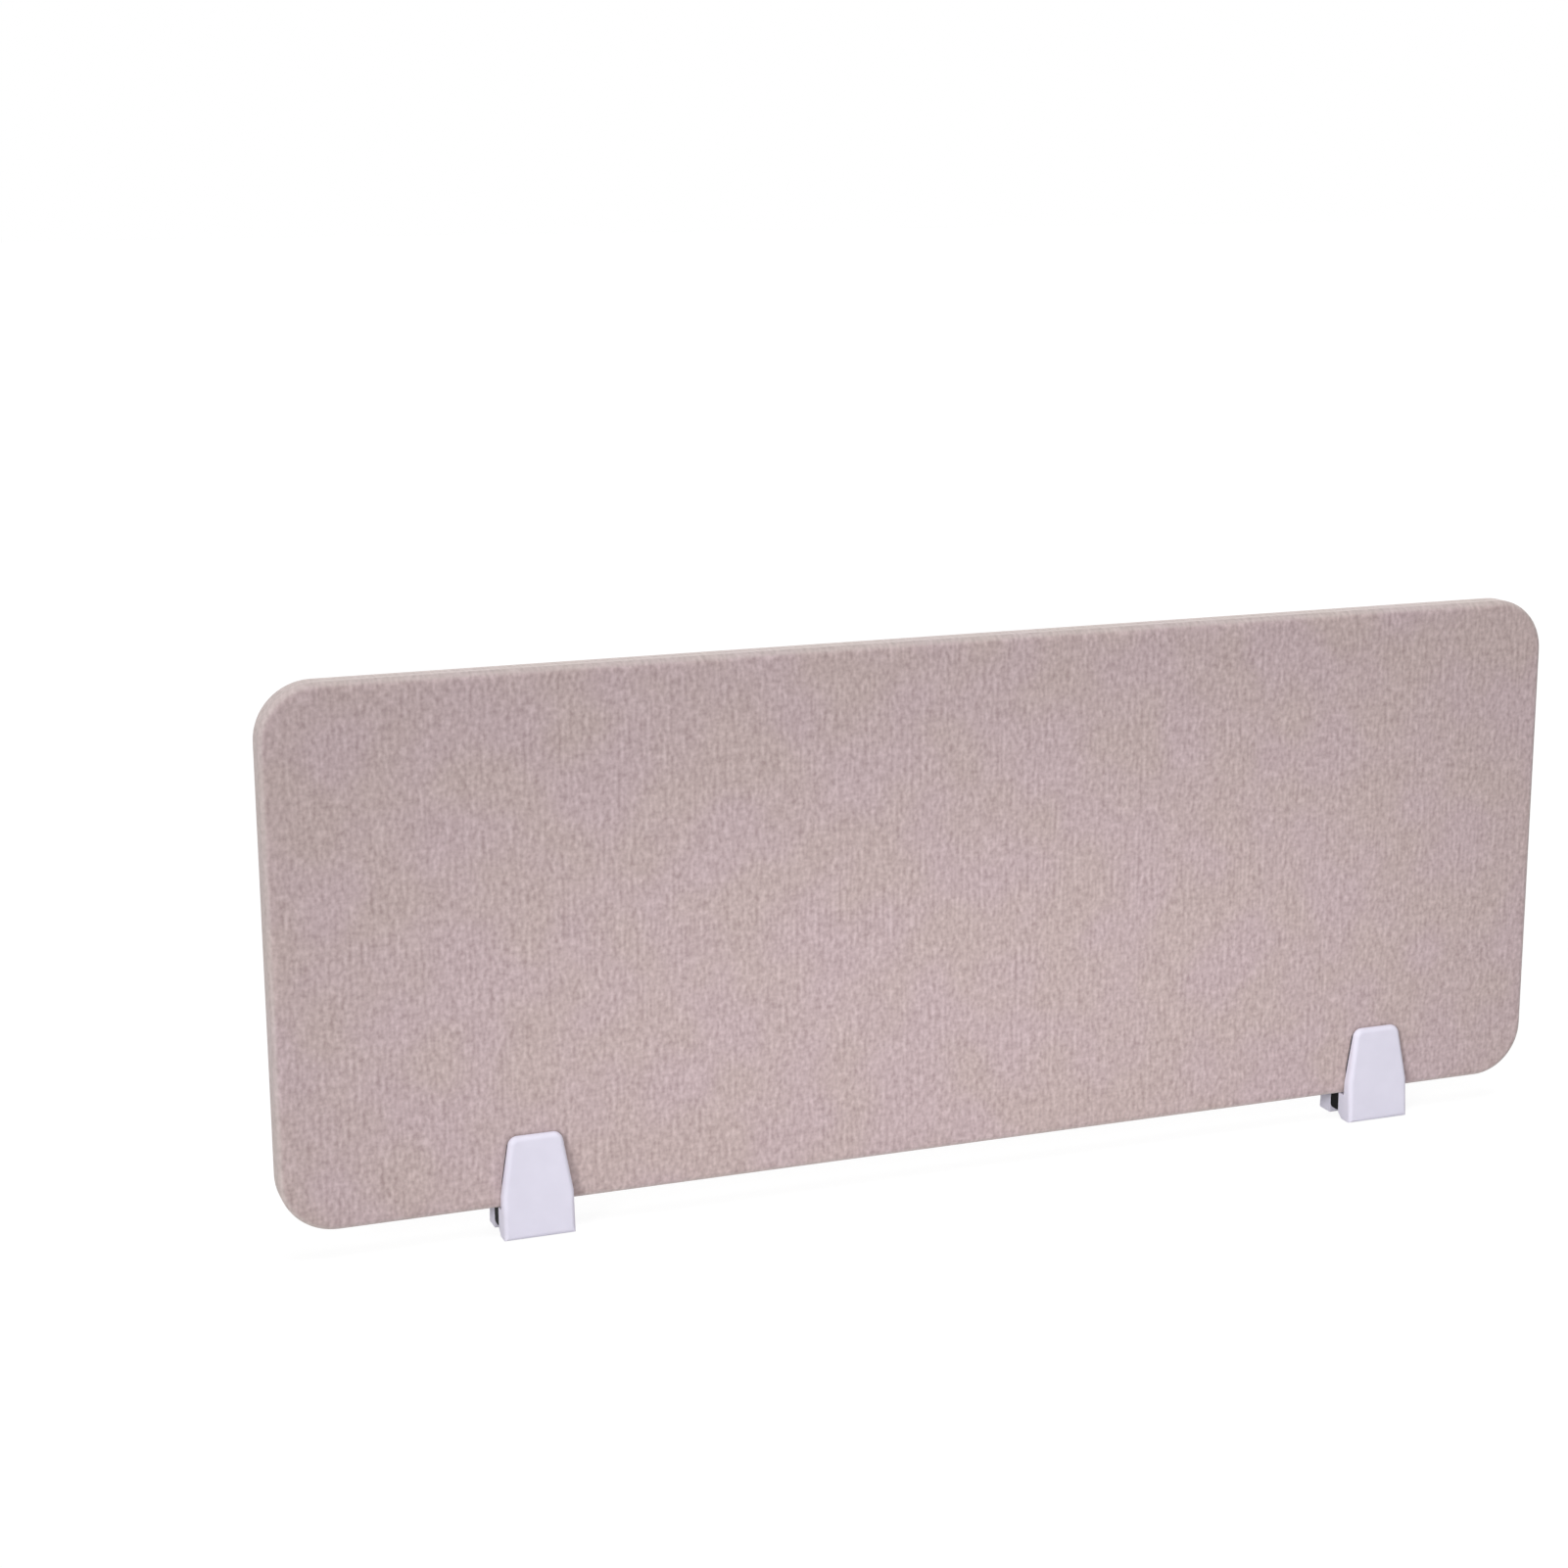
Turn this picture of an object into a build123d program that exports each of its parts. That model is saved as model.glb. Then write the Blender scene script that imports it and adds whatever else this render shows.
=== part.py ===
from build123d import *
import os

# Desk privacy panel: a padded, fabric-covered board that stands on two adjustable clamps.
# Millimetres. X runs along the panel, +Y points to its rear face and +Z points up.
# The origin lies on the desk top, under the middle of the panel.

# Panel
panel_length = 1040.0
panel_height = 400.0
panel_thickness = 25.0
panel_corner_radius = 42.0
panel_edge_rounding = 6.0
panel_lift = 22.0  # desk top to the panel's lower edge
fabric_thickness = 1.0
foam_thickness = 4.0

# Clamps: where they stand, and their outline
left_clamp_inset = 187.7  # panel's left end to the clamp's centre
right_clamp_inset = 143.0  # panel's right end to the clamp's centre
clamp_base_width = 54.0
clamp_top_width = 39.5
clamp_height = 77.5
clamp_taper_start = 32.5  # above this height the sides lean in
clamp_top_corner_radius = 6.0
jaw_base_overhang = 12.5  # jaw beyond the panel's face, at the desk top
jaw_top_overhang = 6.0  # the same, at the clamp's top
jaw_edge_rounding = 3.8
jaw_wall = 2.5

# Relief cut under each jaw's inner edge
front_relief_rise = 4.5
front_relief_run = 5.5
rear_relief_rise = 0.8
rear_relief_run = 0.8

# Bridge that joins the two jaws under the panel and carries it
bridge_depth = 12.0
bridge_bottom_height = 6.0
bridge_corner_radius = 3.0
tongue_width = 8.0
tongue_height = 8.0
tongue_length = 12.0
tongue_offset = 16.0  # clamp's centre to each tongue's centre
tongue_clearance = 0.3

# Rubber pads
grip_pad_thickness = 1.3
grip_pad_margin = 1.5
foot_pad_thickness = 2.0
foot_pad_stand_out = 0.5
foot_pad_clearance = 0.2
foot_rim = 1.2  # flat plastic left in front of each foot pad

# Clearances between the panel and its clamps
seat_clearance = 0.2
grip_clearance = 0.2
ledge_clearance = 0.4

# M5 clamping screw, washer and captive nut
screw_axis_height = 13.0
screw_diameter = 5.0
screw_length = 35.0
screw_head_diameter = 8.5
screw_head_height = 5.0
screw_head_edge = 0.4
socket_width = 4.0
socket_depth = 2.5
screw_hole_clearance = 0.25
washer_diameter = 10.0
washer_thickness = 1.0
counterbore_clearance = 0.5
head_recess = 0.7  # screw head below the jaw's outer face
nut_width = 8.0
nut_thickness = 4.0
nut_clearance = 0.15
nut_wall = 3.2  # plastic that the nut pulls against
thread_clearance = 0.05

# Levels and planes that several pieces share
half_thickness = panel_thickness / 2
grip_plane = half_thickness + grip_clearance
jaw_inner_plane = grip_plane + grip_pad_thickness
jaw_base_plane = half_thickness + jaw_base_overhang
jaw_top_plane = half_thickness + jaw_top_overhang
base_inner_plane = bridge_depth / 2
foot_far_plane = jaw_base_plane - jaw_edge_rounding - foot_rim
ledge_level = panel_lift - ledge_clearance
foot_recess_level = foot_pad_thickness
rim_level = foot_pad_stand_out
lean = (jaw_base_plane - jaw_top_plane) / (clamp_height - rim_level)


def outer_plane(height):
    """Distance from the panel's middle to the jaw's leaning outer face, at a height."""
    return jaw_base_plane - lean * (height - rim_level)


# ---------------------------------------------------------------- panel


def panel_slab(inset):
    """Round-cornered slab with rounded edges, the panel's outline less an inset all round."""
    outline = RectangleRounded(
        panel_length - 2 * inset,
        panel_height - 2 * inset,
        panel_corner_radius - inset,
    )
    depth = panel_thickness - 2 * inset
    slab = extrude(Plane.XZ * outline, amount=depth / 2, both=True)
    rims = slab.edges().filter_by(lambda edge: abs(edge.center().Y) > depth / 2 - 0.01)
    slab = fillet(rims, panel_edge_rounding - inset)
    return Pos(0, 0, panel_lift + panel_height / 2) * slab


def slab_layer(slab, low, high):
    """The part of a slab between two planes parallel to the panel's faces."""
    band = Box(2 * panel_length, high - low, 4 * panel_height)
    return slab & (Pos(0, (low + high) / 2, 0) * band)


def panel_pieces():
    """Core board, foam layers and fabric covers, by node name."""
    stuffing = panel_slab(fabric_thickness)
    cover = panel_slab(0) - stuffing
    foam_outer = half_thickness - fabric_thickness
    foam_inner = foam_outer - foam_thickness
    return {
        "core_board": slab_layer(stuffing, -foam_inner, foam_inner),
        "front_foam": slab_layer(stuffing, -foam_outer, -foam_inner),
        "rear_foam": slab_layer(stuffing, foam_inner, foam_outer),
        "front_cover": slab_layer(cover, -half_thickness, 0),
        "rear_cover": slab_layer(cover, 0, half_thickness),
    }


# ---------------------------------------------------------------- clamp shapes


def half_width(height):
    """Half the clamp's width at a height."""
    if height <= clamp_taper_start:
        return clamp_base_width / 2
    share = (height - clamp_taper_start) / (clamp_height - clamp_taper_start)
    return (clamp_base_width + (clamp_top_width - clamp_base_width) * share) / 2


def tapered_outline(bottom, top, inset, corner_radius):
    """Upright outline of a jaw or pad: straight sides that lean in above the taper's start."""
    levels = [bottom, top]
    if bottom < clamp_taper_start < top:
        levels = [bottom, clamp_taper_start, top]
    right = [(half_width(level) - inset, level) for level in levels]
    left = [(-x, z) for x, z in reversed(right)]
    outline = make_face(Polyline(*right, *left, close=True))
    top_corners = outline.vertices().sort_by(Axis.Y)[-2:]
    return fillet(top_corners, corner_radius)


def upright_plate(outline, low, high):
    """An upright outline given thickness between two distances behind the panel's middle."""
    plate = extrude(Plane.XZ * outline, amount=high - low, dir=(0, 1, 0))
    return Pos(0, low, 0) * plate


def block(width, y_low, y_high, z_low, z_high):
    """A box centred on the clamp's middle plane, by its limits."""
    body = Box(width, y_high - y_low, z_high - z_low)
    return Pos(0, (y_low + y_high) / 2, (z_low + z_high) / 2) * body


def rod(diameter, y_low, y_high):
    """A cylinder on the screw's axis."""
    cylinder = Rot(90, 0, 0) * Cylinder(diameter / 2, y_high - y_low)
    return Pos(0, (y_low + y_high) / 2, screw_axis_height) * cylinder


def hex_bar(width, y_low, y_high):
    """A hexagonal bar on the screw's axis, with upright flats."""
    hexagon = RegularPolygon(width / 2, 6, major_radius=False, rotation=30)
    bar = extrude(Plane.XZ * hexagon, amount=y_high - y_low, dir=(0, 1, 0))
    return Pos(0, y_low, screw_axis_height) * bar


def at_both_tongues(shape):
    """A shape copied to the two tongue places."""
    return [Pos(side * tongue_offset, 0, 0) * shape for side in (-1, 1)]


def tongue_block(y_low, y_high, clearance):
    """One tongue of the bridge, or the window that it slides in."""
    half = tongue_height / 2 + clearance
    low = screw_axis_height - half
    return block(tongue_width + 2 * clearance, y_low, y_high, low, low + 2 * half)


# ---------------------------------------------------------------- jaws


def jaw_body(relief_rise, relief_run):
    """Solid jaw on the +Y side: a leaning face above a base that reaches under the panel."""
    profile = Polyline(
        (jaw_base_plane, rim_level),
        (jaw_top_plane, clamp_height),
        (jaw_inner_plane, clamp_height),
        (jaw_inner_plane, ledge_level),
        (base_inner_plane, ledge_level),
        (base_inner_plane, rim_level + relief_rise),
        (base_inner_plane + relief_run, rim_level),
        close=True,
    )
    wedge = extrude(Plane.YZ * make_face(profile), amount=clamp_base_width, both=True)
    outline = tapered_outline(rim_level, clamp_height, 0, clamp_top_corner_radius)
    body = wedge & upright_plate(outline, 0, 2 * jaw_base_plane)
    outer_face = body.faces().sort_by(Axis.Y)[-1]
    return fillet(outer_face.edges(), jaw_edge_rounding)


def foot_recess(relief_run, clearance):
    """Space for the foot pad inside the jaw's rim, less a clearance."""
    inset = jaw_wall + clearance
    y_low = base_inner_plane + relief_run + inset
    y_high = foot_far_plane - clearance
    return block(clamp_base_width - 2 * inset, y_low, y_high, 0, foot_recess_level)


def jaw_hollow(relief_rise, relief_run):
    """The two moulded pockets in the jaw's base, either side of the screw block."""
    y_far = outer_plane(ledge_level) - jaw_wall
    y_near = base_inner_plane + jaw_wall
    y_throat = y_near + relief_run
    ceiling = ledge_level - jaw_wall
    floor = max(rim_level + relief_rise + jaw_wall, foot_recess_level)
    floor = min(floor, screw_axis_height - tongue_height / 2 - tongue_clearance)
    width = clamp_base_width - 2 * jaw_wall
    chamber = block(width, y_near, y_far, floor, ceiling)
    throat = block(width, y_throat, foot_far_plane, 0, ceiling)
    screw_block = block(screw_block_width(), 0, 2 * jaw_base_plane, 0, clamp_height)
    return chamber + throat - screw_block


def screw_block_width():
    """Width of the solid plastic left around the screw."""
    return washer_diameter + 2 * counterbore_clearance + 2 * jaw_wall


def jaw_shell(relief_rise, relief_run):
    """Jaw on the +Y side with its pockets, foot recess, tongue windows and screw hole."""
    hole = rod(screw_diameter + 2 * screw_hole_clearance, 0, screw_reach())
    shell = jaw_body(relief_rise, relief_run)
    shell -= jaw_hollow(relief_rise, relief_run)
    shell -= foot_recess(relief_run, 0)
    shell -= hole
    for window in at_both_tongues(tongue_block(0, base_inner_plane + 2 * jaw_wall, tongue_clearance)):
        shell -= window
    return shell


def screw_seat():
    """Plane under the screw's washer, behind the panel's middle."""
    head_top = outer_plane(screw_axis_height + washer_diameter / 2) - head_recess
    return head_top - screw_head_height - washer_thickness


def screw_tip():
    """Distance that the screw's tip reaches in front of the panel's middle."""
    return screw_length - screw_seat() - washer_thickness


def screw_reach():
    """Depth of the screw hole in either jaw, from the panel's middle."""
    return max(screw_tip(), screw_seat()) + screw_hole_clearance


def rear_jaw():
    """Rear jaw, with the counterbore for the screw's head and washer."""
    counterbore = rod(washer_diameter + 2 * counterbore_clearance, screw_seat(), 2 * jaw_base_plane)
    return jaw_shell(rear_relief_rise, rear_relief_run) - counterbore


def nut_near_plane():
    """Nearer face of the nut, in front of the panel's middle."""
    return base_inner_plane + nut_wall


def front_jaw():
    """Front jaw, with the slot that the nut slides up into from below."""
    width = nut_width + 2 * nut_clearance
    y_low = nut_near_plane()
    y_high = y_low + nut_thickness + nut_clearance
    slot = block(width, y_low, y_high, 0, screw_axis_height)
    pocket = hex_bar(width, y_low, y_high)
    shell = jaw_shell(front_relief_rise, front_relief_run)
    return mirror(shell - slot - pocket, about=Plane.XZ)


# ---------------------------------------------------------------- small clamp pieces


def bridge():
    """Block between the jaws: a collar under the panel and two guide tongues each way."""
    top = panel_lift - seat_clearance
    collar = block(clamp_base_width, -bridge_depth / 2, bridge_depth / 2, bridge_bottom_height, top)
    lower = collar.edges().filter_by(Axis.X).sort_by(Axis.Z)[:2]
    collar = fillet(lower, bridge_corner_radius)
    reach = bridge_depth / 2 + tongue_length
    for tongue in at_both_tongues(tongue_block(-reach, reach, 0)):
        collar += tongue
    return collar - rod(screw_diameter + 2 * screw_hole_clearance, -bridge_depth, bridge_depth)


def grip_pad():
    """Rubber pad on the +Y jaw's inner face."""
    bottom = panel_lift + panel_edge_rounding
    outline = tapered_outline(
        bottom,
        clamp_height - grip_pad_margin,
        grip_pad_margin,
        clamp_top_corner_radius - grip_pad_margin,
    )
    return upright_plate(outline, grip_plane, jaw_inner_plane)


def clamp_screw():
    """Socket-head screw, its head in the rear jaw and its tip through the nut."""
    under_head = screw_seat() + washer_thickness
    head = rod(screw_head_diameter, under_head, under_head + screw_head_height)
    head = fillet(head.edges().sort_by(Axis.Y)[-1], screw_head_edge)
    shank = rod(screw_diameter, under_head - screw_length, under_head)
    shank = chamfer(shank.edges().sort_by(Axis.Y)[0], screw_head_edge)
    head_top = under_head + screw_head_height
    return head + shank - hex_bar(socket_width, head_top - socket_depth, head_top)


def washer():
    """Flat washer under the screw's head."""
    seat = screw_seat()
    disc = rod(washer_diameter, seat, seat + washer_thickness)
    hole = rod(screw_diameter + 2 * screw_hole_clearance, seat, seat + washer_thickness)
    return disc - hole


def nut():
    """Hexagon nut, held in the front jaw."""
    y_high = -nut_near_plane()
    y_low = y_high - nut_thickness
    bore = rod(screw_diameter + 2 * thread_clearance, y_low, y_high)
    return hex_bar(nut_width, y_low, y_high) - bore


def clamp_pieces():
    """Every piece of one clamp, centred on X = 0, by its name within the clamp."""
    pad = grip_pad()
    return {
        "front_jaw": front_jaw(),
        "rear_jaw": rear_jaw(),
        "bridge": bridge(),
        "front_grip_pad": mirror(pad, about=Plane.XZ),
        "rear_grip_pad": pad,
        "front_foot_pad": mirror(foot_recess(front_relief_run, foot_pad_clearance), about=Plane.XZ),
        "rear_foot_pad": foot_recess(rear_relief_run, foot_pad_clearance),
        "screw": clamp_screw(),
        "washer": washer(),
        "nut": nut(),
    }


# ---------------------------------------------------------------- whole object


def clamp_places():
    """Each clamp's centre along X, by its name."""
    return {
        "left": left_clamp_inset - panel_length / 2,
        "right": panel_length / 2 - right_clamp_inset,
    }


def all_pieces():
    """Every piece of the privacy panel in place, by node name."""
    pieces = panel_pieces()
    for side, place in clamp_places().items():
        for name, shape in clamp_pieces().items():
            pieces[f"{side}_{name}"] = Pos(place, 0, 0) * shape
    return pieces


def write_parts():
    """Write one STEP file for each piece."""
    os.makedirs("parts", exist_ok=True)
    for name, shape in all_pieces().items():
        export_step(shape, f"parts/{name}.step")


write_parts()
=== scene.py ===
"""Looks of the desk privacy panel: a padded, fabric-covered board on two moulded clamps.

Metres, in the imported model's own frame: X runs along the panel, +Y points to its rear
face, +Z points up and the desk top is at Z = 0.
"""

import logging
import math
from collections.abc import Callable, Iterator, Sequence
from contextlib import contextmanager
from dataclasses import dataclass
from enum import Enum

import bmesh
import bpy
from mathutils import Matrix, Vector, noise


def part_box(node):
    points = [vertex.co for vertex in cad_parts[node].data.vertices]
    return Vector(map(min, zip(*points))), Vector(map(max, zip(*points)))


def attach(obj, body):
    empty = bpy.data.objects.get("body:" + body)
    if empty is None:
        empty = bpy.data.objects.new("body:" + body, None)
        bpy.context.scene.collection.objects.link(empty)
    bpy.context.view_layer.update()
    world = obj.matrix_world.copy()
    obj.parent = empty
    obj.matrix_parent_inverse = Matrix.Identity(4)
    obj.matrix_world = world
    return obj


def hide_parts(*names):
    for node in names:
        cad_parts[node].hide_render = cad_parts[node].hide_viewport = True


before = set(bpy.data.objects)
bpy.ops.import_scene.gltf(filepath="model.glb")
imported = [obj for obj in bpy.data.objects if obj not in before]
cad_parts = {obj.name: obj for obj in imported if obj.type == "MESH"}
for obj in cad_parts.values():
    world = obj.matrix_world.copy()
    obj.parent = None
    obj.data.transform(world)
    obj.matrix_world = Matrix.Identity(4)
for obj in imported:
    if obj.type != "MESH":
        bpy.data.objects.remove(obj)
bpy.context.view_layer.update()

log = logging.getLogger("privacy_panel")

MM = 0.001
ON_PLANE = 0.01 * MM  # a point this close to a plane lies on it
SAME_PLACE = 0.001 * MM  # points this close are one
SHARP = math.radians(32)  # an edge that turns more than this is rounded
OVER_CORNERS = 1 / math.cos(math.radians(30))  # a hexagon's width over its corners, for one over its flats
CLOTH_MAP = "cloth"  # UV map that unrolls the covers, in metres
EDGE_RUN = "edge_run"  # attribute: how far the cloth has run past a face's rim, in metres; it places the cloth's painted highlight band

# Sockets of a colour Mix node, which has one set for each kind of data
FACTOR = 0
FIRST_COLOUR = 6
SECOND_COLOUR = 7
MIXED_COLOUR = 2

Point = Sequence[float]
Piece = bpy.types.Object
Tree = bpy.types.NodeTree
Socket = bpy.types.NodeSocket
Test = Callable[[Vector, Vector], bool]
Inputs = dict[str | int, object]


class Face(Enum):
    """The two faces of the panel, by the sign of the way that they look along Y."""

    FRONT = -1
    REAR = 1


class Side(Enum):
    """The two clamps, by the names of their nodes and bodies."""

    LEFT = "left"
    RIGHT = "right"


# ---------------------------------------------------------------- modelling helpers


def select_only(piece: Piece) -> None:
    """Make a piece the one selected and active object.

    Args:
        piece: The object to select.
    """
    bpy.ops.object.select_all(action="DESELECT")
    piece.select_set(True)
    bpy.context.view_layer.objects.active = piece


@contextmanager
def editing(piece: Piece) -> Iterator[None]:
    """Hold a piece in edit mode, with nothing selected at first.

    Args:
        piece: The mesh object to edit.
    """
    select_only(piece)
    bpy.ops.object.mode_set(mode="EDIT")
    bpy.ops.mesh.select_all(action="DESELECT")
    yield
    bpy.ops.object.mode_set(mode="OBJECT")


def pick_faces(piece: Piece, test: Test) -> None:
    """Select the faces that pass a test, in edit mode.

    Args:
        piece: The mesh object in edit mode.
        test: Takes a face's centre and normal, and says whether it is wanted.
    """
    bpy.ops.mesh.select_mode(type="FACE")
    shape = bmesh.from_edit_mesh(piece.data)
    for face in shape.faces:
        face.select_set(test(face.calc_center_median(), face.normal))
    bmesh.update_edit_mesh(piece.data)


def pick_edges(piece: Piece, test: Test) -> None:
    """Select the edges that pass a test, in edit mode.

    Args:
        piece: The mesh object in edit mode.
        test: Takes an edge's two ends, and says whether it is wanted.
    """
    bpy.ops.mesh.select_mode(type="EDGE")
    shape = bmesh.from_edit_mesh(piece.data)
    for edge in shape.edges:
        edge.select_set(test(edge.verts[0].co, edge.verts[1].co))
    bmesh.update_edit_mesh(piece.data)


def settle(name: str, scale: Point = (1, 1, 1)) -> Piece:
    """Name the primitive that was just added, and put its place, turn and scale into its mesh.

    Args:
        name: The piece's name.
        scale: The scale that it gets.

    Returns:
        The new object.
    """
    piece = bpy.context.active_object
    piece.name = piece.data.name = name
    piece.scale = scale
    bpy.ops.object.transform_apply(location=True, rotation=True, scale=True)
    return piece


def start_box(name: str, low: Point, high: Point) -> Piece:
    """Start a piece as a box between two corners.

    Args:
        name: The piece's name.
        low: Its lowest corner.
        high: Its highest corner.

    Returns:
        The new object.
    """
    low, high = Vector(low), Vector(high)
    bpy.ops.object.select_all(action="DESELECT")
    bpy.ops.mesh.primitive_cube_add(size=1, location=(low + high) / 2)
    return settle(name, high - low)


def start_rod(name: str, centre: Point, radius: float, length: float, sides: int) -> Piece:
    """Start a piece as a rod that lies along Y.

    Args:
        name: The piece's name.
        centre: The rod's middle.
        radius: Its radius, to its corners.
        length: Its length along Y.
        sides: The number of its flat sides.

    Returns:
        The new object.
    """
    bpy.ops.object.select_all(action="DESELECT")
    bpy.ops.mesh.primitive_cylinder_add(
        vertices=sides, radius=radius, depth=length, location=centre, rotation=(math.radians(-90), 0, 0)
    )
    return settle(name)


def hold(piece: Piece, kind: str, **settings: object) -> None:
    """Add a modifier to a piece and apply it.

    Args:
        piece: The object to change.
        kind: The modifier's type.
        settings: The modifier's settings by name.
    """
    select_only(piece)
    modifier = piece.modifiers.new(name=kind.lower(), type=kind)
    for name, value in settings.items():
        setattr(modifier, name, value)
    bpy.ops.object.modifier_apply(modifier=modifier.name)


def combine(piece: Piece, tool: Piece, operation: str = "DIFFERENCE") -> None:
    """Cut a tool's shape out of a piece, or join or intersect the two, and remove the tool."""
    hold(piece, "BOOLEAN", operation=operation, solver="EXACT", object=tool)
    bpy.data.objects.remove(tool, do_unlink=True)


def cut_box(piece: Piece, low: Point, high: Point) -> None:
    """Cut a box between two corners out of a piece."""
    combine(piece, start_box("cutter", low, high))


def slice_off(point: Point, outward: Point, keep: bool = False) -> None:
    """Cut the piece in edit mode along a plane and close the cut.

    Args:
        point: A point on the plane.
        outward: The plane's normal, which points to what is cut off.
        keep: Whether both halves stay, with only new edges between them.
    """
    bpy.ops.mesh.select_all(action="SELECT")
    bpy.ops.mesh.bisect(
        plane_co=point,
        plane_no=Vector(outward).normalized(),
        use_fill=not keep,
        clear_outer=not keep,
        threshold=SAME_PLACE,
    )
    bpy.ops.mesh.select_all(action="DESELECT")


def round_picked(width: float, segments: int) -> None:
    """Bevel the selected edges round by a width, in edit mode."""
    bpy.ops.mesh.bevel(offset=width, segments=segments, profile=0.5, affect="EDGES", clamp_overlap=True)


def extrude_picked(way: Point) -> None:
    """Extrude the selected faces by a vector, in edit mode."""
    bpy.ops.mesh.extrude_region_move(TRANSFORM_OT_translate={"value": way})


def clean(piece: Piece) -> None:
    """Merge a piece's doubled points and turn its faces outwards.

    Args:
        piece: The mesh object to clean.
    """
    with editing(piece):
        bpy.ops.mesh.select_all(action="SELECT")
        bpy.ops.mesh.remove_doubles(threshold=SAME_PLACE)
        bpy.ops.mesh.normals_make_consistent(inside=False)


def smooth(piece: Piece, angle: float = 50.0) -> None:
    """Shade a piece smooth up to an angle in degrees, with its flat faces kept flat."""
    select_only(piece)
    bpy.ops.object.shade_smooth_by_angle(angle=math.radians(angle))
    hold(piece, "WEIGHTED_NORMAL", weight=80, keep_sharp=True)


def flip_to_front(piece: Piece) -> None:
    """Turn a rear piece into its front twin by mirroring it about the panel's middle.

    Args:
        piece: The mesh object to mirror.
    """
    with editing(piece):
        bpy.ops.mesh.select_all(action="SELECT")
        bpy.ops.transform.resize(value=(1, -1, 1), center_override=(0, 0, 0))
    clean(piece)


def copy_along(piece: Piece, name: str, shift: float) -> Piece:
    """Copy a piece with its own mesh, moved along X.

    Args:
        piece: The object to copy.
        name: The copy's name.
        shift: How far it moves.

    Returns:
        The copy.
    """
    twin = piece.copy()
    twin.data = piece.data.copy()
    twin.name = twin.data.name = name
    bpy.context.scene.collection.objects.link(twin)
    twin.data.transform(Matrix.Translation((shift, 0, 0)))
    return twin


# ---------------------------------------------------------------- material helpers


def linear(hex_colour: str) -> tuple[float, float, float, float]:
    """Turn an sRGB hex colour into the linear colour that a shader takes.

    Args:
        hex_colour: The colour, such as #A0B0C0.

    Returns:
        Linear red, green and blue, with full alpha.
    """
    parts = [int(hex_colour[i : i + 2], 16) / 255 for i in (1, 3, 5)]
    red, green, blue = (c / 12.92 if c <= 0.04045 else ((c + 0.055) / 1.055) ** 2.4 for c in parts)
    return red, green, blue, 1.0


def set_inputs(tree: Tree, node: bpy.types.Node, inputs: Inputs) -> None:
    """Set or link the inputs of a shader node.

    Args:
        tree: The node tree that it is in.
        node: The node.
        inputs: A value, or an output socket to link, for each input by name or number.
    """
    for key, value in inputs.items():
        if isinstance(value, Socket):
            tree.links.new(value, node.inputs[key])
        else:
            node.inputs[key].default_value = value


def add_node(tree: Tree, kind: str, inputs: Inputs | None = None, **settings: object) -> bpy.types.Node:
    """Add a shader node with its settings and links.

    Args:
        tree: The node tree that it goes into.
        kind: The node's type, without its ShaderNode prefix.
        inputs: Its inputs, as set_inputs takes them.
        settings: The node's own settings by name.

    Returns:
        The new node.
    """
    node = tree.nodes.new("ShaderNode" + kind)
    for name, value in settings.items():
        setattr(node, name, value)
    set_inputs(tree, node, inputs or {})
    return node


@dataclass(frozen=True)
class Finish:
    """A surface finish, under the name of its real material."""

    name: str

    def make(self) -> bpy.types.Material:
        """Build the finish's material, or find it if it is built.

        Returns:
            The material.
        """
        found = bpy.data.materials.get(self.name)
        if found:
            return found
        material = bpy.data.materials.new(self.name)
        material.use_nodes = True
        tree = material.node_tree
        set_inputs(tree, tree.nodes["Principled BSDF"], self.dress(tree))
        return material

    def dress(self, tree: Tree) -> Inputs:
        """Build the finish's nodes, and give what goes into the Principled BSDF's inputs."""
        raise NotImplementedError

    def lay_on(self, piece: Piece) -> None:
        """Give a modelled piece this finish alone."""
        piece.data.materials.clear()
        piece.data.materials.append(self.make())

    def repaint(self, node: Piece) -> None:
        """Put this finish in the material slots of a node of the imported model."""
        for slot in node.material_slots:
            slot.material = self.make()


# ---------------------------------------------------------------- finishes


@dataclass(frozen=True)
class Mottle:
    """One noise over the unrolled cloth."""

    width: float  # of its spots, across the upright yarns
    length: float  # of its spots, along them
    detail: float  # how many finer layers it has
    share: float = 1.0  # of it in the sum of the mottles

    def spread(self, tree: Tree, cloth: Socket) -> Socket:
        """Add the noise to a material.

        Args:
            tree: The material's node tree.
            cloth: The unrolled cloth's coordinates, in metres.

        Returns:
            The noise's value, about 0.5.
        """
        cells = {"Vector": cloth, "Scale": (1 / self.width, 1 / self.length, 1)}
        place = add_node(tree, "Mapping", cells).outputs[0]
        pattern = {"Vector": place, "Scale": 1.0, "Detail": self.detail}
        return add_node(tree, "TexNoise", pattern).outputs[0]


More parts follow.
